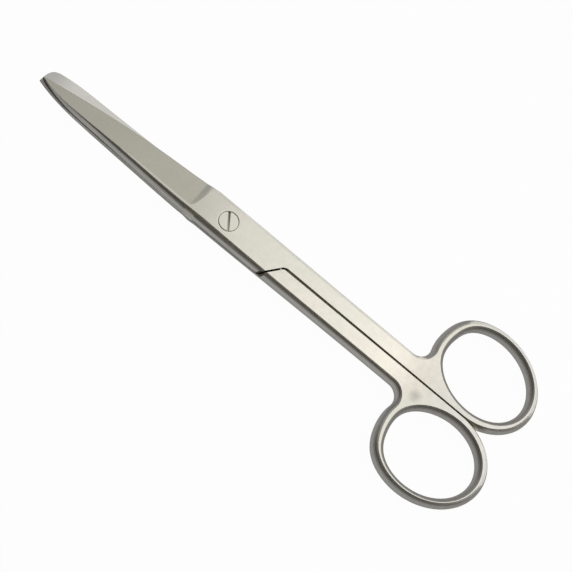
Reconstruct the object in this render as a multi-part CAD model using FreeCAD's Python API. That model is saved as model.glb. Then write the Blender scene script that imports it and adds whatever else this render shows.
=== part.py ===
import FreeCAD, Part
import math
import os

V = FreeCAD.Vector

# Operating scissors, closed, lying flat. Millimetres and degrees.
# Origin on the pivot axis at the resting underside. +X to the tips, +Z up,
# the ring of the upper half on the -Y side.

# thickness
thickness = 4.2            # whole thickness at joint, shanks and rings
lap_clearance = 0.04       # between the sliding faces of the two halves
shoulder_gap = 0.5         # between the halves at the shoulder when closed
ring_gap = 0.24            # between the two shanks where they meet the rings
edge_break = 0.12          # small flat on edges that a hand touches

# shanks and the bulged sides that run round the whole outline
land_half_width = 3.9      # centre line to the outer edge of the flat top
side_bulge = 1.2           # how far the oval side stands out beyond the flat top
side_levels = 7            # sections in the upper half of the oval side
joint_swell = 0.15         # how much wider the ring side is at the joint
upper_fullness = 0.1       # share of the oval's inset missing on the outer face
lower_fullness = 0.75
swell_peak = 3.0           # pivot to the widest place
swell_reach = 52.0         # from there to where the shank is straight
neck_radius = 4.6          # inside corner where the shank turns into the ring

# finger rings
ring_back = 73.85          # pivot to the centre of the hole along the shank
ring_offset = 12.84        # centre line to the centre of the hole
ring_hole_long = 13.8      # half length of the hole at the flat top
ring_hole_short = 11.35    # half width of the hole at the flat top
front_flat = 0.9           # how far the front of the ring falls short of an oval
ring_points = 24           # points that each outline of the ring runs through
ring_tilt = 10.1           # far end of the ring turned in
outer_back = 73.6          # pivot to the middle of the outer edge of the flat top
outer_reach = 14.35        # from there to its ends, along the shank
crest_width = 0.25         # flat crest at the widest part of the ring
ring_end_bulge = 1.4       # bulge of the oval side at the ends of the ring
ring_inner_bulge = 0.6     # and next to the other ring

# shoulder where the full-thickness shank ends and the lap joint begins
shoulder_back = 17.9       # pivot to shoulder on the centre line
shoulder_angle = 52.0      # shoulder line to the centre line
shoulder_corner = 1.6      # rounding between shoulder and shank gap
shoulder_root = 1.5        # rounding where the shoulder meets the sliding face
joint_taper = 0.3          # flat top narrower at the front of the joint

# blades
blade_length = 57.4        # pivot to tip
grind_start = 9.9          # pivot to the start of the ground face
grind_runout = 2.3         # radius left by the wheel at the start
grind_line = 3.1           # centre line to the line where grinding starts
grind_angle = 7.6          # ground face to the sliding face
grind_taper = 0.95         # extra ground away at the tip
taper_start = 26.0         # pivot to the start of that extra grinding
edge_angle = 5.0           # lean of the narrow wall along the cutting edge

# Blade outlines at the sliding face, from the straight side at the joint to
# the tip, drawn for one length and stretched to blade_length. Along the cutting
# edge x, y and how far the wall stands out below it; along the spine x, y and
# the share of the oval side's inset that the point takes.
drawn_length = 57.4
sharp_edge = [(10.0, -4.6, 0.0), (25.0, -3.37, 0.0), (42.0, -1.25, 0.0)]
sharp_spine = [(50.0, 3.47, 0.95), (40.0, 4.15, 0.87), (30.0, 4.52, 0.9), (20.0, 4.88, 0.97)]
sharp_tip = (57.4, 1.4, 0.8)
blunt_edge = [(12.0, -5.15, 0.25), (20.0, -5.0, 0.21), (30.0, -4.72, 0.14), (40.0, -4.5, 0.05),
              (50.5, -3.88, 0.0)]
blunt_spine = [(57.4, -0.6, 0.4), (56.6, 1.55, 0.6), (53.5, 2.75, 1.0), (42.0, 3.45, 1.0),
               (30.0, 3.7, 1.0), (18.0, 4.1, 1.0)]
blunt_tip = (57.5, -2.4, 0.4)

# pivot screw
head_radius = 2.55
head_height = 1.1
head_clearance = 0.05
head_seat = 0.02           # gap under the head
shaft_radius = 1.5
shaft_clearance = 0.05     # turning fit in the upper half
seat_clearance = 0.02      # in the lower half, which holds the screw
slot_width = 0.6
slot_depth = 0.55
slot_angle = 123.0         # slot to the centre line, seen from above
end_inset = 0.0            # screw end above the resting underside
end_chamfer = 0.2

mid = thickness / 2
lap_half = lap_clearance / 2
front_gap = shoulder_gap / 2
rear_gap = ring_gap / 2
joint_back = 13.0          # where the handle section ends inside the joint
joint_front = 6.0          # where the straight sides end and the blades begin
full_half_width = land_half_width + side_bulge


def level_list(count):
    """Heights from the middle up, with the inset of the oval side at each."""
    oval = 1.05 * mid
    top = math.asin(mid / oval)
    levels = []
    for k in range(count):
        angle = top * k / (count - 1)
        inset = side_bulge * (1 - math.cos(angle)) / (1 - math.cos(top))
        levels.append((mid + oval * math.sin(angle), inset))
    return levels


def swell(x):
    """Share of the joint's extra width at one place along the side."""
    along = min(1.0, abs(x - swell_peak) / swell_reach)
    return (1 + math.cos(math.pi * along)) / 2


def ring_side(x, inset, fullness):
    """Half width on the side of the ring, between ring and blade."""
    share = swell(x)
    kept = inset * (1 - fullness * share)
    return full_half_width - kept + joint_swell * share * (1 - inset / side_bulge)


def line(a, b):
    return Part.makeLine(V(*a), V(*b))


def spline(points):
    """Smooth curve through points."""
    curve = Part.BSplineCurve()
    curve.interpolate(Points=[V(*p) for p in points])
    return curve.toShape()


def loft(wires):
    return Part.makeLoft(wires, True, True)


class Oval:
    """An ellipse in plan, tilted by the ring angle and flattened at its front."""

    def __init__(self, centre_x, centre_y, long_half, short_half):
        self.cx = centre_x
        self.cy = centre_y
        self.a = long_half
        self.b = short_half
        self.tilt = math.radians(-ring_tilt)

    def point(self, t):
        x = self.a * math.cos(t) - front_flat * max(0.0, math.cos(t)) ** 7
        y = self.b * math.sin(t)
        c = math.cos(self.tilt)
        s = math.sin(self.tilt)
        return (self.cx + x * c - y * s, self.cy + x * s + y * c)

    def edge(self, z, t0, t1):
        step = (t1 - t0) / ring_points
        return spline([(*self.point(t0 + step * k), z) for k in range(ring_points + 1)])

    def loop(self, z):
        step = 2 * math.pi / ring_points
        curve = Part.BSplineCurve()
        points = [V(*self.point(step * k), z) for k in range(ring_points)]
        curve.interpolate(Points=points, PeriodicFlag=True)
        return Part.Wire([curve.toShape()])

    def inmost(self):
        """Parameter of the point nearest to the centre line."""
        return math.atan2(self.b * math.cos(self.tilt), self.a * math.sin(self.tilt))

    def nearest(self, x, y, t0, t1):
        """Parameter of the point of the ellipse nearest to (x, y)."""
        for _ in range(60):
            third = (t1 - t0) / 3
            p = self.point(t0 + third)
            q = self.point(t1 - third)
            if math.hypot(p[0] - x, p[1] - y) < math.hypot(q[0] - x, q[1] - y):
                t1 = t1 - third
            else:
                t0 = t0 + third
        return (t0 + t1) / 2


def outer_oval(out):
    """Outer edge of the ring, where the oval side stands out by this much."""
    tilt = math.radians(ring_tilt)
    share = out / side_bulge
    hole_side = math.hypot(ring_hole_long * math.sin(tilt), ring_hole_short * math.cos(tilt))
    side_edge = ring_offset + hole_side + crest_width + out
    inner_edge = rear_gap + edge_break - ring_inner_bulge * share
    along = outer_reach + ring_end_bulge * share
    across = (side_edge - inner_edge) / 2
    half_sum = along ** 2 + across ** 2
    half_difference = (along ** 2 - across ** 2) / math.cos(2 * tilt)
    long_half = math.sqrt((half_sum + half_difference) / 2)
    short_half = math.sqrt((half_sum - half_difference) / 2)
    return Oval(-outer_back, -(side_edge + inner_edge) / 2, long_half, short_half)


def corner_centre():
    """Where the gap between the shanks turns into the shoulder, along x."""
    return -shoulder_back - shoulder_corner * math.tan(math.radians(shoulder_angle) / 2)


def handle_wire(z, inset, broken, fullness):
    """Outline of shank and ring at one height, on the -Y side."""
    out = side_bulge - inset
    ring = outer_oval(out)
    side = -(full_half_width - inset)
    radius = neck_radius - out
    # slide the neck arc along the shank until it touches the ring
    near = -outer_back + outer_reach * 0.3
    far = -joint_back
    for _ in range(60):
        x = (near + far) / 2
        t = ring.nearest(x, side - radius, -1.2, 0.9)
        p = ring.point(t)
        if math.hypot(p[0] - x, p[1] - side + radius) > radius:
            far = x
        else:
            near = x
    touch = ring.point(t)
    angle = (math.atan2(touch[1] - side + radius, touch[0] - x) + math.pi / 2) / 2
    if angle < 0:
        angle = angle + math.pi
    arc_mid = (x + radius * math.cos(angle), side - radius + radius * math.sin(angle))
    neck = Part.Arc(V(x, side, z), V(*arc_mid, z), V(*touch, z)).toShape()
    # the far end of the gap face is where the ring leaves it
    low = ring.inmost()
    high = math.pi
    for _ in range(60):
        u = (low + high) / 2
        if ring.point(u)[1] > -rear_gap - broken:
            low = u
        else:
            high = u
    leave = ring.point(u)
    corner = (corner_centre(), -front_gap - broken, z)
    inner = (-joint_back, -front_gap - broken, z)
    straight = swell_peak - swell_reach
    swollen = []
    for k in range(6):
        at = -joint_back + (straight + joint_back) * k / 5
        swollen.append((at, -ring_side(at, inset, fullness), z))
    edges = [line((leave[0], leave[1], z), corner)]
    edges.append(line(corner, inner))
    edges.append(line(inner, swollen[0]))
    edges.append(spline(swollen))
    edges.append(line(swollen[-1], (x, side, z)))
    edges.append(neck)
    edges.append(ring.edge(z, u, 2 * math.pi + t))
    return Part.Wire(Part.__sortEdges__(edges))


def handle(fullness):
    """Shank and ring at full thickness, on the -Y side."""
    holes = []
    outlines = []
    turned = []
    for z, inset in level_list(side_levels):
        broken = edge_break if z > thickness - 0.01 else 0.0
        outlines.append(handle_wire(z, inset, broken, fullness))
        turned.append(handle_wire(z, inset, broken, 0.0))
        shrink = side_bulge - inset
        hole = Oval(-ring_back, -ring_offset, ring_hole_long - shrink, ring_hole_short - shrink)
        holes.append(hole.loop(z))
    upper = loft(outlines).cut(loft(holes))
    lower = loft(turned).cut(loft(holes)).mirror(V(0, 0, mid), V(0, 0, 1))
    return upper.fuse(lower)


def shoulder_edges(side, radius, end_y, z):
    """Corner arc and shoulder line; side is +1 on +Y. Returns edges and ends."""
    turn = math.radians(shoulder_angle)
    cx = corner_centre()
    cy = side * shoulder_corner
    points = []
    for angle in (0, turn / 2, turn):
        x = cx + radius * math.sin(angle)
        y = cy - side * radius * math.cos(angle)
        points.append((x, y, z))
    reach = (end_y - points[2][1]) * side
    end = (points[2][0] + reach / math.tan(turn), end_y, z)
    arc = Part.Arc(*[V(*p) for p in points]).toShape()
    return [arc, line(points[2], end)], points[0], end


def beyond_shoulder(side, radius, bottom, top, rounded):
    """Everything towards the tips from the shoulder, its root edge rounded."""
    reach = 2 * full_half_width
    far = blade_length + reach
    edges, start, end = shoulder_edges(side, radius, side * reach, bottom)
    behind = (start[0], -side * reach, bottom)
    edges.append(line(end, (far, side * reach, bottom)))
    edges.append(line((far, side * reach, bottom), (far, -side * reach, bottom)))
    edges.append(line((far, -side * reach, bottom), behind))
    edges.append(line(behind, start))
    block = Part.Face(Part.Wire(Part.__sortEdges__(edges))).extrude(V(0, 0, top - bottom))
    root = []
    for edge in block.Edges:
        spot = edge.valueAt((edge.FirstParameter + edge.LastParameter) / 2)
        on_wall = min(e.distToShape(Part.Vertex(V(spot.x, spot.y, bottom)))[0] for e in edges[:2])
        if abs(spot.z - rounded) < 1e-6 and on_wall < 1e-6:
            root.append(edge)
    return block.makeFillet(shoulder_root, root)


def plate_wire(z, inset, broken, edge_points, spine_points, tip, fullness):
    """Outline of joint and blade at one height, square behind the shoulder."""
    stretch = blade_length / drawn_length
    spine_side = full_half_width - inset - broken
    narrow = spine_side - joint_taper * inset / side_bulge
    height = z - mid
    lean = height * math.tan(math.radians(edge_angle))
    behind = corner_centre() - 1.0
    inner = (-joint_back, -1.0, z)
    sides = []
    for at in (-joint_back, -4.0, joint_front):
        sides.append((at, -ring_side(at, inset, fullness) + broken, z))
    back = (joint_front, narrow, z)
    tip_point = (tip[0] * stretch - inset * tip[2], tip[1], z)
    edge = [sides[-1]]
    for x, y, out in edge_points:
        edge.append((x * stretch, y + lean - out * min(1.0, height), z))
    edge.append(tip_point)
    spine = [tip_point]
    before = tip
    for k, (x, y, share) in enumerate(spine_points):
        after = spine_points[min(k + 1, len(spine_points) - 1)]
        dx = after[0] - before[0]
        dy = after[1] - before[1]
        size = math.hypot(dx, dy)
        move = (inset + broken) * share
        spine.append((x * stretch - move * dy / size, y + move * dx / size, z))
        before = (x, y)
    spine.append(back)
    edges = [line((behind, spine_side, z), (behind, -front_gap + 0.1, z))]
    edges.append(line((behind, -front_gap + 0.1, z), inner))
    edges.append(line(inner, sides[0]))
    edges.append(spline(sides))
    edges.append(spline(edge))
    edges.append(spline(spine))
    edges.append(line(back, (behind, spine_side, z)))
    return Part.Wire(Part.__sortEdges__(edges))


def grinding():
    """What the wheel takes off the outer face of a blade."""
    slope = math.tan(math.radians(grind_angle))
    near = grind_start
    deep = near - grind_runout
    top = thickness + 3 * grind_runout
    far = blade_length + 3
    bend = (far - taper_start) / (blade_length - taper_start)
    low = thickness - grind_taper * bend ** 2
    half_low = thickness - grind_taper * (bend / 2) ** 2
    fall = 1 / math.sqrt(2)
    rise = thickness + grind_runout
    at = (near - grind_runout * fall, rise - grind_runout * fall)
    profile = [Part.Arc(V(deep, 0, rise), V(at[0], 0, at[1]), V(near, 0, thickness)).toShape()]
    profile.append(line((near, 0, thickness), (taper_start, 0, thickness)))
    middle = V((taper_start + far) / 2, 0, half_low)
    profile.append(Part.Arc(V(taper_start, 0, thickness), middle, V(far, 0, low)).toShape())
    profile.append(line((far, 0, low), (far, 0, top)))
    profile.append(line((far, 0, top), (deep, 0, top)))
    profile.append(line((deep, 0, top), (deep, 0, rise)))
    face = Part.Face(Part.Wire(Part.__sortEdges__(profile)))
    reach = 12.0
    face.translate(V(0, grind_line - reach, -reach * slope))
    return face.extrude(V(0, 2 * reach, 2 * reach * slope))


def half(edge_points, spine_points, tip, fullness):
    """One half, ring on -Y, blade layer on top."""
    slide = mid + lap_half
    levels = [(slide, 0.0, edge_break), (slide + edge_break, 0.0, 0.0)]
    for z, inset in level_list(side_levels)[1:]:
        levels.append((z, inset, 0.0))
    wires = []
    for z, inset, broken in levels:
        wires.append(plate_wire(z, inset, broken, edge_points, spine_points, tip, fullness))
    room = beyond_shoulder(1, shoulder_corner + front_gap, slide, 2 * thickness, slide)
    plate = loft(wires).cut(grinding()).common(room)
    # clear the lower layer beyond the shoulder for the other half
    other = beyond_shoulder(-1, shoulder_corner - front_gap, -1, slide, slide)
    return handle(fullness).cut(other).fuse(plate).removeSplitter()


def cylinder(radius, bottom, top):
    return Part.makeCylinder(radius, top - bottom, V(0, 0, bottom))


def sunk_rim(radius, top):
    """Cone that breaks the upper edge of a hole."""
    wide = radius + 2 * edge_break
    return Part.makeCone(radius, wide, 2 * edge_break, V(0, 0, top - edge_break))


def screw():
    top = thickness
    seat = top - head_height
    head = cylinder(head_radius, seat, top)
    rim = [e for e in head.Edges if e.BoundBox.ZMin > top - 1e-3 and e.BoundBox.XMax > 1]
    head = head.makeChamfer(edge_break, rim)
    body = head.fuse(cylinder(shaft_radius, end_inset, seat))
    slot = Part.makeBox(3 * head_radius, slot_width, slot_depth)
    slot.translate(V(-1.5 * head_radius, -slot_width / 2, top - slot_depth))
    slot.rotate(V(0, 0, 0), V(0, 0, 1), slot_angle)
    body = body.cut(slot).removeSplitter()
    end = [e for e in body.Edges if abs(e.BoundBox.ZMax - end_inset) < 1e-6]
    return body.makeChamfer(end_chamfer, end)


def save(shape, name):
    shape.exportStep("parts/" + name + ".step")


def build():
    os.makedirs("parts", exist_ok=True)
    upper = half(sharp_edge, sharp_spine, sharp_tip, upper_fullness)
    seat = thickness - head_height - head_seat
    upper = upper.cut(cylinder(head_radius + head_clearance, seat, 9))
    upper = upper.cut(sunk_rim(head_radius + head_clearance, thickness))
    upper = upper.cut(cylinder(shaft_radius + shaft_clearance, -1, 9))
    lower = half(blunt_edge, blunt_spine, blunt_tip, lower_fullness)
    # the same forging turned over about the centre line
    lower.rotate(V(0, 0, mid), V(1, 0, 0), 180)
    lower = lower.cut(cylinder(shaft_radius + seat_clearance, -1, 9))
    save(upper, "upper_half")
    save(lower, "lower_half")
    save(screw(), "pivot_screw")


build()
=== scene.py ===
import bpy
import math
from mathutils import Matrix, Vector

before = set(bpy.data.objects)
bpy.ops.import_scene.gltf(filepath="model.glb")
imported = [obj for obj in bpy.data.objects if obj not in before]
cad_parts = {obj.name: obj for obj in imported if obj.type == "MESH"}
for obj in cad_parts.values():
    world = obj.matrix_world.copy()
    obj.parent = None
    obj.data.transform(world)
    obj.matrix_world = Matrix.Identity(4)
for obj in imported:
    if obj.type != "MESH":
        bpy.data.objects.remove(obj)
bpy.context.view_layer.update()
scene = bpy.context.scene
scene.view_settings.view_transform = "Standard"


# ---- node helpers

class Tree:
    """Short calls for building a shader."""

    def __init__(self, owner):
        owner.use_nodes = True
        self.nodes = owner.node_tree.nodes
        self.links = owner.node_tree.links
        self.nodes.clear()

    def add(self, kind, **settings):
        node = self.nodes.new(kind)
        for name, value in settings.items():
            setattr(node, name, value)
        return node

    def feed(self, target, value):
        """Sets an input from a number, a colour or another node's output."""
        if isinstance(value, bpy.types.NodeSocket):
            self.links.new(value, target)
        else:
            target.default_value = value

    def math(self, operation, a, b=0.0):
        node = self.add("ShaderNodeMath", operation=operation)
        self.feed(node.inputs[0], a)
        self.feed(node.inputs[1], b)
        return node.outputs[0]

    def plus(self, a, b):
        return self.math("ADD", a, b)

    def minus(self, a, b):
        return self.math("SUBTRACT", a, b)

    def product(self, *factors):
        """Product of masks or numbers."""
        result = factors[0]
        for factor in factors[1:]:
            result = self.math("MULTIPLY", result, factor)
        return result

    def either(self, a, b):
        """The larger of two masks."""
        return self.math("MAXIMUM", a, b)

    def size(self, value):
        return self.math("ABSOLUTE", value)

    def split(self, vector):
        node = self.add("ShaderNodeSeparateXYZ")
        self.feed(node.inputs[0], vector)
        return node.outputs

    def mix(self, factor, a, b):
        node = self.add("ShaderNodeMix", data_type="RGBA")
        self.feed(node.inputs[0], factor)
        self.feed(node.inputs[6], a)
        self.feed(node.inputs[7], b)
        return node.outputs[2]

    def scale(self, colour, factor):
        node = self.add("ShaderNodeVectorMath", operation="SCALE")
        self.feed(node.inputs[0], colour)
        self.feed(node.inputs[3], factor)
        return node.outputs[0]

    def span(self, value, low, high, to_low=0.0, to_high=1.0):
        """Smooth step from one number to another as the value goes from low to high."""
        node = self.add("ShaderNodeMapRange", interpolation_type="SMOOTHSTEP")
        self.feed(node.inputs[0], value)
        for k, number in enumerate((low, high, to_low, to_high)):
            node.inputs[k + 1].default_value = number
        return node.outputs[0]

    def fall(self, value, low, high):
        """1 below low, 0 above high."""
        return self.span(value, low, high, 1.0, 0.0)

    def fade(self, mask, start, end):
        """Smooth step from start to end as the mask goes from 0 to 1."""
        return self.span(mask, 0.0, 1.0, start, end)

    def band(self, value, low, high, soft):
        """1 between low and high, 0 outside."""
        return self.product(self.span(value, low - soft, low + soft),
                            self.fall(value, high - soft, high + soft))

    def noise(self, vector, scale, stretch=(1, 1, 1), detail=3.0, roughness=0.5):
        mapping = self.add("ShaderNodeMapping")
        self.feed(mapping.inputs["Vector"], vector)
        mapping.inputs["Scale"].default_value = stretch
        node = self.add("ShaderNodeTexNoise")
        self.feed(node.inputs["Vector"], mapping.outputs[0])
        node.inputs["Scale"].default_value = scale
        node.inputs["Detail"].default_value = detail
        node.inputs["Roughness"].default_value = roughness
        return node.outputs["Fac"]

    def rounded_normal(self, radius, samples):
        node = self.add("ShaderNodeBevel", samples=samples)
        node.inputs["Radius"].default_value = radius
        return node.outputs[0]

    def own_frame(self, normal):
        """Components of a normal in the node's own frame."""
        node = self.add("ShaderNodeVectorTransform", vector_type="NORMAL",
                        convert_from="WORLD", convert_to="OBJECT")
        self.feed(node.inputs[0], normal)
        return self.split(node.outputs[0])


class Spot:
    """Where the shaded point lies in the part's frame, and which way it faces."""

    def __init__(self, tree):
        self.place = tree.add("ShaderNodeTexCoord").outputs["Object"]
        self.x, self.y, self.z = tree.split(self.place)
        self.facing = tree.own_frame(tree.add("ShaderNodeNewGeometry").outputs["True Normal"])
        self.level = tree.size(self.facing[2])
        across = tree.add("ShaderNodeVectorMath", operation="MULTIPLY")
        tree.feed(across.inputs[0], self.place)
        across.inputs[1].default_value = (1, 1, 0)
        length = tree.add("ShaderNodeVectorMath", operation="LENGTH")
        tree.feed(length.inputs[0], across.outputs[0])
        self.radius = length.outputs["Value"]


# ---- steel: colours

PALE = (0.87, 0.83, 0.745, 1)        # satin flats, warmer patches
PALE_COOL = (0.84, 0.825, 0.735, 1)  # satin flats, cooler patches
BRIGHT = (0.93, 0.915, 0.865, 1)     # polished sliding faces
GROUND = (0.59, 0.575, 0.492, 1)     # ground faces of the blades
RUNOUT_SHADE = (0.50, 0.50, 0.455, 1)      # painted shade on the curved end of the ground faces, far part
SIDE_SHADE = (0.32, 0.312, 0.29)           # painted shade on the lower part of the oval sides
CREST = (0.88, 0.865, 0.82, 1)       # top of the rings
SEAM_SHADE = (0.62, 0.58, 0.49, 1)         # painted shade on the walls of the gap between the shanks
CORNER_SHADE = (0.17, 0.155, 0.12, 1)      # deep painted shade on the walls of the gap at the shoulder
SLOT_DEEP_SHADE = (0.28, 0.265, 0.235, 1)       # painted shade inside the screw slot, darker end
SLOT_LIGHT_SHADE = (0.60, 0.58, 0.52, 1)    # painted shade inside the screw slot, lighter end
WHITE = (1, 1, 1, 1)
EDGE_TINT = (0.55, 0.55, 0.55, 1)    # keeps grazing sides from whitening

# How much of its colour a place keeps
LAP_SHARE = 0.86                     # flats from the pivot forward
FRONT_SHADE_SHARE = 0.80                   # painted shade on the sides beside the blade
LOW_SHADE_SHARE = 0.72                     # painted shade deepened on the sides below the sliding face
STRIP_SHARE = 0.5                    # sliding face along the blunt blade's back
TIP_SHARE = 0.76                     # sliding face at the tip
OUTLINE_SHADE_SHARE = 0.72                 # painted shade along the far edges of the blade
DARK_SPOT_SHARE = 0.73                  # darker patch at a ring's root
RING_SHARE = 1.075                   # flats near the rings

# ---- steel: places, in metres, with (start, end) for each gradual change

MIDDLE = 0.0021                      # height of the sliding faces
RING_CENTRE = (-0.07385, 0.01284)    # a ring's hole, the other ring's mirrored in Y
LIT_WAY = (-0.35, -0.94)            # direction in plan towards the lit side of the studio; walls turned this way get less painted shade
SHOULDER_BACK = 0.0179               # pivot to shoulder on the centre line
SHOULDER_ANGLE = math.radians(52.0)
DARK_SPOT = (-0.0624, 0.0040, 0.0042)   # centre of the darker patch
DARK_SPOT_RADIUS = 0.0025

RING_ROOT = (-0.062, -0.052)         # a ring runs into its neck
CREST_END = (-0.072, -0.060)         # the pale crest of a ring ends
NECK_FADE = (-0.052, -0.034)         # flats get duller away from the rings
SEAM_END = (-0.0195, -0.0185)        # the gap between the shanks ends
SHOULDER_GAP = (-0.0187, -0.0110)    # the gap at the shoulder runs between these
LOW_START = (-0.016, -0.004)
LAP_START = (-0.006, 0.008)
FRONT_START = (-0.004, 0.003)
OUTLINE_START = (0.002, 0.010)
RUNOUT_ZONE = (0.0073, 0.0102)
BLADE_START = (0.0085, 0.0095)
TIP_START = (0.040, 0.052)
STRIP_START = (0.043, 0.051)
STRIP_SIDE = (0.0012, 0.0024)
TIP_END = (0.0485, 0.0575)
EDGE_SOFT = 0.0003                   # softness of a zone's ends

# Share of the surface's normal that points up or down
FLAT_LEVEL = (0.965, 0.985)
UPPER_LEVEL = (0.58, 0.75)           # upper part of the oval sides
SHANK_SHIFT = 0.12                   # added to it on shank walls turned away from the lit side, which get more painted shade
RING_SHIFT = 0.255                   # and of rings

# ---- steel: finish

SATIN = (0.28, 0.34)                 # roughness
CONTRAST = (0.3, 0.7)                # range of a noise that is used
ROUNDING = 0.00008                   # radius of the softened edges
OUTLINE_WIDTH = 0.0003
BUMP_STRENGTH = 0.5
GRAIN_DEPTH = 0.0000015
CLOUD_DEPTH = 0.00002
RINGS_DEPTH = 0.000002


def finish_shader(tree, colour, rough, heights, edge_tint=None):
    """Metal shader; heights are pairs of a height field and its depth in metres."""
    normal = tree.rounded_normal(ROUNDING, 12)
    for field, depth in heights:
        bump = tree.add("ShaderNodeBump")
        bump.inputs["Strength"].default_value = BUMP_STRENGTH
        bump.inputs["Distance"].default_value = depth
        tree.feed(bump.inputs["Height"], field)
        tree.feed(bump.inputs["Normal"], normal)
        normal = bump.outputs[0]
    shader = tree.add("ShaderNodeBsdfPrincipled")
    shader.inputs["Metallic"].default_value = 1.0
    if edge_tint is not None:
        tree.feed(shader.inputs["Specular Tint"], edge_tint)
    tree.feed(shader.inputs["Base Color"], colour)
    tree.feed(shader.inputs["Roughness"], rough)
    tree.feed(shader.inputs["Normal"], normal)
    out = tree.add("ShaderNodeOutputMaterial")
    tree.feed(out.inputs["Surface"], shader.outputs[0])


def upper_part(tree, spot, ring):
    """1 on flats and on the upper part of the oval sides, 0 on their lower part, which takes
    painted shade.

    The upper part is narrower, so the painted shade reaches higher, on the walls that turn away
    from the lit side and inside the rings.
    """
    to_x = tree.minus(RING_CENTRE[0], spot.x)
    to_y = tree.minus(tree.product(tree.math("SIGN", spot.y), RING_CENTRE[1]), spot.y)
    inward = tree.plus(tree.product(to_x, spot.facing[0]), tree.product(to_y, spot.facing[1]))
    inner = tree.product(ring, tree.span(inward, 0.0, 0.001))
    spread = tree.math("SQRT", tree.minus(1.0001, tree.product(spot.level, spot.level)))
    turned = tree.plus(tree.product(spot.facing[0], LIT_WAY[0]),
                       tree.product(spot.facing[1], LIT_WAY[1]))
    pale = tree.span(tree.math("DIVIDE", turned, spread), 0.2, 0.6)
    # walls turned away from the lit side, and the inner walls of the rings, get more painted
    # shade
    shaded_wall = tree.either(inner, tree.fade(pale, 1.0, 0.0))
    shift = tree.product(shaded_wall, tree.fade(ring, SHANK_SHIFT, RING_SHIFT))
    return tree.span(tree.minus(spot.level, shift), *UPPER_LEVEL)


def gap_walls(tree, spot, depth):
    """Masks of the painted shade on the walls of the gap between the shanks and of the gap at the
    lap joint's shoulder.
    """
    off_centre = tree.size(spot.y)
    seam_shade = tree.product(tree.fall(off_centre, 0.0004, 0.0006), tree.fall(spot.x, *SEAM_END),
                        tree.fall(spot.level, 0.4, 0.6))
    past = tree.product(tree.plus(spot.x, SHOULDER_BACK), math.sin(SHOULDER_ANGLE))
    aside = tree.product(off_centre, math.cos(SHOULDER_ANGLE))
    from_line = tree.size(tree.minus(past, aside))
    upward = tree.math("SIGN", tree.minus(spot.z, MIDDLE))
    inside = tree.either(tree.fall(depth, 0.0016, 0.0019), tree.fall(spot.level, 0.6, 0.9))
    corner_shade = tree.product(tree.fall(from_line, 0.0005, 0.0008),
                          tree.band(spot.x, *SHOULDER_GAP, EDGE_SOFT),
                          tree.span(tree.product(upward, spot.y), -0.0030, -0.0025), inside)
    return seam_shade, corner_shade


def far_edge_shade(tree, spot):
    """Mask of painted shade along the blade's edges on the side away from +Y."""
    lean = tree.own_frame(tree.rounded_normal(OUTLINE_WIDTH, 8))
    return tree.product(tree.fall(lean[1], -0.5, -0.1), tree.span(spot.level, 0.9, 0.95),
                        tree.span(spot.x, *OUTLINE_START))


def flats_colour(tree, spot, flat):
    """Satin flats in slightly warmer and cooler patches, paler towards the rings."""
    tint = tree.noise(spot.place, 45.0, (1.0, 1.6, 1.0), 2.0, 0.5)
    colour = tree.mix(tree.span(tint, 0.38, 0.62), PALE_COOL, PALE)
    lap = tree.product(tree.span(spot.x, *LAP_START), flat)
    colour = tree.mix(lap, colour, tree.scale(colour, LAP_SHARE))
    colour = tree.scale(colour, tree.span(spot.x, *NECK_FADE, RING_SHARE, 1.0))
    # painted shade on the sides beside the blade
    front = tree.product(tree.span(spot.x, *FRONT_START), tree.fall(spot.level, 0.94, 0.985))
    colour = tree.scale(colour, tree.fade(front, 1.0, FRONT_SHADE_SHARE))
    return tree.mix(tree.span(spot.x, *CREST_END, 0.8, 0.0), colour, CREST)


def painted_side_shade(tree, spot):
    """Painted shade on the lower part of the oval sides, deeper still below the sliding face."""
    # deeper painted shade on the sides below the sliding face
    low = tree.product(tree.fall(spot.z, 0.0016, 0.0022), tree.span(spot.x, *LOW_START))
    return tree.scale(SIDE_SHADE, tree.fade(low, 1.0, LOW_SHADE_SHARE))


def polish(tree, spot, sliding, colour):
    """Bright sliding faces, duller at the tip and along the back."""
    colour = tree.mix(sliding, colour, BRIGHT)
    strip = tree.product(sliding, tree.span(spot.x, *STRIP_START), tree.span(spot.y, *STRIP_SIDE))
    colour = tree.scale(colour, tree.fade(strip, 1.0, STRIP_SHARE))
    end = tree.product(sliding, tree.span(spot.x, *TIP_END))
    return tree.scale(colour, tree.fade(end, 1.0, TIP_SHARE))


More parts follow.
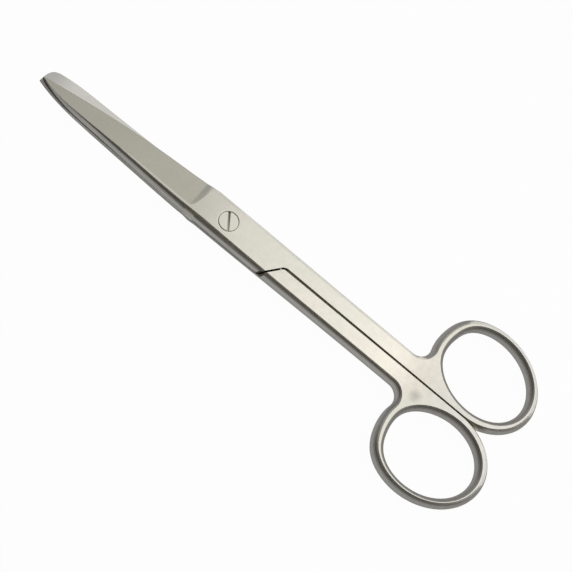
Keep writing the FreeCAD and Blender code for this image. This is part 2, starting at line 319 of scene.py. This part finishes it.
def forged_steel(name, ground_side):
    """Satin flats, cross-ground blade, smooth oval sides, polished sliding face.

    ground_side is +1 or -1, the sign of Z on which this half's blade is ground.
    """
    material = bpy.data.materials.new(name)
    tree = Tree(material)
    spot = Spot(tree)

    # which surface this is
    flat = tree.span(spot.level, *FLAT_LEVEL)
    ring = tree.fall(spot.x, *RING_ROOT)
    upper = upper_part(tree, spot, ring)
    depth = tree.size(tree.minus(spot.z, MIDDLE))
    sliding = tree.product(flat, tree.fall(depth, 0.0002, 0.0004))
    tilt = tree.product(spot.facing[1], -float(ground_side))
    blade = tree.product(flat, tree.span(tilt, 0.05, 0.09), tree.span(spot.x, *BLADE_START))
    runout = tree.product(tree.band(spot.x, *RUNOUT_ZONE, EDGE_SOFT),
                          tree.span(spot.level, 0.45, 0.6), tree.fall(spot.level, 0.985, 0.995))
    tip_side = tree.product(tree.span(spot.x, *TIP_START), tree.fall(spot.level, 0.9, 0.96))
    rim = tree.product(tree.fall(spot.radius, 0.0029, 0.0031), tree.span(spot.z, 0.0038, 0.0040))
    seam_shade, corner_shade = gap_walls(tree, spot, depth)
    dark_spot = tree.add("ShaderNodeVectorMath", operation="DISTANCE")
    tree.feed(dark_spot.inputs[0], spot.place)
    dark_spot.inputs[1].default_value = DARK_SPOT

    # brush marks along the flats, wheel marks across the ground face
    brushed = tree.noise(spot.place, 2600.0, (0.03, 1.0, 1.0), 3.0, 0.6)
    wheel = tree.noise(spot.place, 2200.0, (1.0, 0.04, 0.04), 3.0, 0.6)
    grain = tree.mix(blade, brushed, wheel)
    cloud = tree.noise(spot.place, 120.0, (0.6, 1.0, 1.0), 3.0, 0.55)
    speck = tree.noise(spot.place, 700.0, (1.0, 1.0, 1.0), 3.0, 0.6)

    # the lower part of the sides takes painted shade instead of the flats' colour
    colour = tree.mix(upper, painted_side_shade(tree, spot), flats_colour(tree, spot, flat))
    colour = polish(tree, spot, sliding, colour)
    # painted shade in the gaps between the parts
    colour = tree.mix(seam_shade, colour, SEAM_SHADE)
    colour = tree.mix(corner_shade, colour, CORNER_SHADE)
    colour = tree.mix(blade, colour, GROUND)
    # painted shade on the far part of the ground faces' curved end
    runout_shade_colour = tree.mix(tree.span(spot.y, -0.003, 0.002), RUNOUT_SHADE, GROUND)
    colour = tree.mix(runout, colour, runout_shade_colour)
    # painted shade along the blade's far edges
    colour = tree.scale(colour, tree.fade(far_edge_shade(tree, spot), 1.0, OUTLINE_SHADE_SHARE))
    # darker patch at a ring's root
    colour = tree.scale(colour, tree.span(dark_spot.outputs["Value"], 0.0, DARK_SPOT_RADIUS,
                                          DARK_SPOT_SHARE, 1.0))
    # the walls round the screw hole keep the pale colour, free of the painted side shade
    colour = tree.mix(rim, colour, PALE_COOL)
    shade = tree.product(tree.span(cloud, *CONTRAST, 0.975, 1.02),
                         tree.span(grain, *CONTRAST, 0.985, 1.012))
    colour = tree.scale(colour, shade)

    rough = tree.span(speck, *CONTRAST, *SATIN)
    for mask, change in ((blade, 0.08), (ring, 0.15), (tip_side, 0.15), (sliding, -0.06),
                         (corner_shade, 0.5)):
        rough = tree.plus(rough, tree.product(mask, change))
    finish_shader(tree, colour, rough, [(grain, GRAIN_DEPTH), (cloud, CLOUD_DEPTH)],
                  tree.mix(upper, EDGE_TINT, WHITE))
    return material


def screw_steel(name):
    """Turned head with fine rings, with painted shade inside its slot, lighter towards one end.
    """
    material = bpy.data.materials.new(name)
    tree = Tree(material)
    spot = Spot(tree)
    circle = tree.add("ShaderNodeCombineXYZ")
    tree.feed(circle.inputs[0], spot.radius)
    rings = tree.noise(circle.outputs[0], 4000.0, (1, 1, 1), 2.0, 0.5)
    cloud = tree.noise(spot.place, 260.0, (1, 1, 1), 2.0, 0.5)
    inside = tree.product(tree.fall(spot.z, 0.0039, 0.0041), tree.span(spot.z, 0.0032, 0.0034),
                          tree.fall(spot.radius, 0.00250, 0.00254))
    colour = tree.mix(tree.span(cloud, 0.35, 0.65), PALE_COOL, PALE)
    along = tree.minus(spot.x, spot.y)
    # painted shade inside the slot, lighter towards one end
    colour = tree.mix(inside, colour, tree.mix(tree.span(along, -0.0035, 0.003), SLOT_LIGHT_SHADE, SLOT_DEEP_SHADE))
    colour = tree.scale(colour, tree.span(rings, *CONTRAST, 0.95, 1.0))
    finish_shader(tree, colour, tree.span(cloud, *CONTRAST, *SATIN), [(rings, RINGS_DEPTH)])
    return material


def dress(node, material):
    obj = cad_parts[node]
    obj.data.materials.clear()
    obj.data.materials.append(material)


dress("upper_half", forged_steel("upper_steel", 1))
dress("lower_half", forged_steel("lower_steel", -1))
dress("pivot_screw", screw_steel("screw_steel"))


# ---- floor, light and camera

FLOOR_SIZE = 3.0                     # half the floor's side
FLOOR_DROP = 0.00002                 # keeps the floor clear of the underside
FLOOR_COLOUR = (0.9, 0.9, 0.9, 1)
GLOW_SHARE = 0.97                    # of the floor seen, the rest takes the shadow

WALLS = (0.80, 0.80, 0.80, 1)        # studio walls and ceiling
WARM = (0.80, 0.74, 0.67, 1)         # dim room on the +Y side
WALL_LIGHT = 0.85
ROOM_LIGHT = 0.22
CEILING_SHARE = 0.53                 # of the light of the walls
SKIRT_SHARE = 1.45                   # just above the floor
LAMP_HEIGHT = 0.6
LAMP_COLOUR = (1.0, 0.99, 0.965)


def white_floor():
    """Plain white floor that keeps a faint shadow of the scissors."""
    mesh = bpy.data.meshes.new("floor")
    corners = [(-FLOOR_SIZE, -FLOOR_SIZE, 0), (FLOOR_SIZE, -FLOOR_SIZE, 0),
               (FLOOR_SIZE, FLOOR_SIZE, 0), (-FLOOR_SIZE, FLOOR_SIZE, 0)]
    mesh.from_pydata(corners, [], [(0, 1, 2, 3)])
    floor = bpy.data.objects.new("floor", mesh)
    scene.collection.objects.link(floor)
    floor.location.z = -FLOOR_DROP
    material = bpy.data.materials.new("floor_white")
    tree = Tree(material)
    diffuse = tree.add("ShaderNodeBsdfDiffuse")
    diffuse.inputs["Color"].default_value = FLOOR_COLOUR
    glow = tree.add("ShaderNodeEmission")
    path = tree.add("ShaderNodeLightPath").outputs
    seen = tree.either(path["Is Camera Ray"], path["Is Glossy Ray"])
    seen = tree.either(seen, path["Is Transmission Ray"])
    mixed = tree.add("ShaderNodeMixShader")
    tree.feed(mixed.inputs[0], tree.product(seen, GLOW_SHARE))
    tree.feed(mixed.inputs[1], diffuse.outputs[0])
    tree.feed(mixed.inputs[2], glow.outputs[0])
    out = tree.add("ShaderNodeOutputMaterial")
    tree.feed(out.inputs["Surface"], mixed.outputs[0])
    mesh.materials.append(material)


def softbox(name, low, high, radiance):
    """A level lamp overhead, between two corners in plan, facing down."""
    lamp = bpy.data.lights.new(name, "AREA")
    lamp.shape = "RECTANGLE"
    lamp.size = high[0] - low[0]
    lamp.size_y = high[1] - low[1]
    lamp.energy = radiance * math.pi * lamp.size * lamp.size_y
    lamp.color = LAMP_COLOUR
    obj = bpy.data.objects.new(name, lamp)
    scene.collection.objects.link(obj)
    obj.location = ((low[0] + high[0]) / 2, (low[1] + high[1]) / 2, LAMP_HEIGHT)


def studio():
    """Pale walls on the -Y side, a dimmer ceiling, a dim room on the +Y side."""
    world = bpy.data.worlds.new("studio")
    scene.world = world
    tree = Tree(world)
    way = tree.split(tree.add("ShaderNodeTexCoord").outputs["Generated"])
    room = tree.product(tree.span(way[1], -0.35, 0.3), tree.span(way[2], 0.04, 0.20))
    light = tree.product(tree.fade(room, WALL_LIGHT, ROOM_LIGHT),
                         tree.span(way[2], 0.3, 0.75, 1.0, CEILING_SHARE),
                         tree.span(way[2], 0.01, 0.05, SKIRT_SHARE, 1.0))
    background = tree.add("ShaderNodeBackground")
    tree.feed(background.inputs["Color"], tree.mix(room, WALLS, WARM))
    tree.feed(background.inputs["Strength"], light)
    out = tree.add("ShaderNodeOutputWorld")
    tree.feed(out.inputs["Surface"], background.outputs[0])
    softbox("key", (-0.75, -0.75), (0.03, 0.16), 0.72)
    softbox("fill", (0.06, -0.75), (0.6, 0.0), 0.22)


def camera():
    """The photograph's view: direction, distance and roll in the part's frame."""
    azimuth = math.radians(86.08)
    elevation = math.radians(67.02)
    roll = math.radians(43.37)
    distance = 0.400
    aim = Vector((-0.02098, 0.00180, 0.0002))
    back = Vector((math.cos(elevation) * math.cos(azimuth),
                   math.cos(elevation) * math.sin(azimuth), math.sin(elevation)))
    level = Vector((0, 0, 1)).cross(back).normalized()
    upright = back.cross(level)
    right = math.cos(roll) * level + math.sin(roll) * upright
    top = math.cos(roll) * upright - math.sin(roll) * level
    data = bpy.data.cameras.new("camera")
    data.sensor_width = 36.0
    data.lens = 102.0
    obj = bpy.data.objects.new("camera", data)
    scene.collection.objects.link(obj)
    turn = Matrix((right, top, back)).transposed().to_4x4()
    obj.matrix_world = Matrix.Translation(aim + distance * back) @ turn
    scene.camera = obj


white_floor()
studio()
camera()
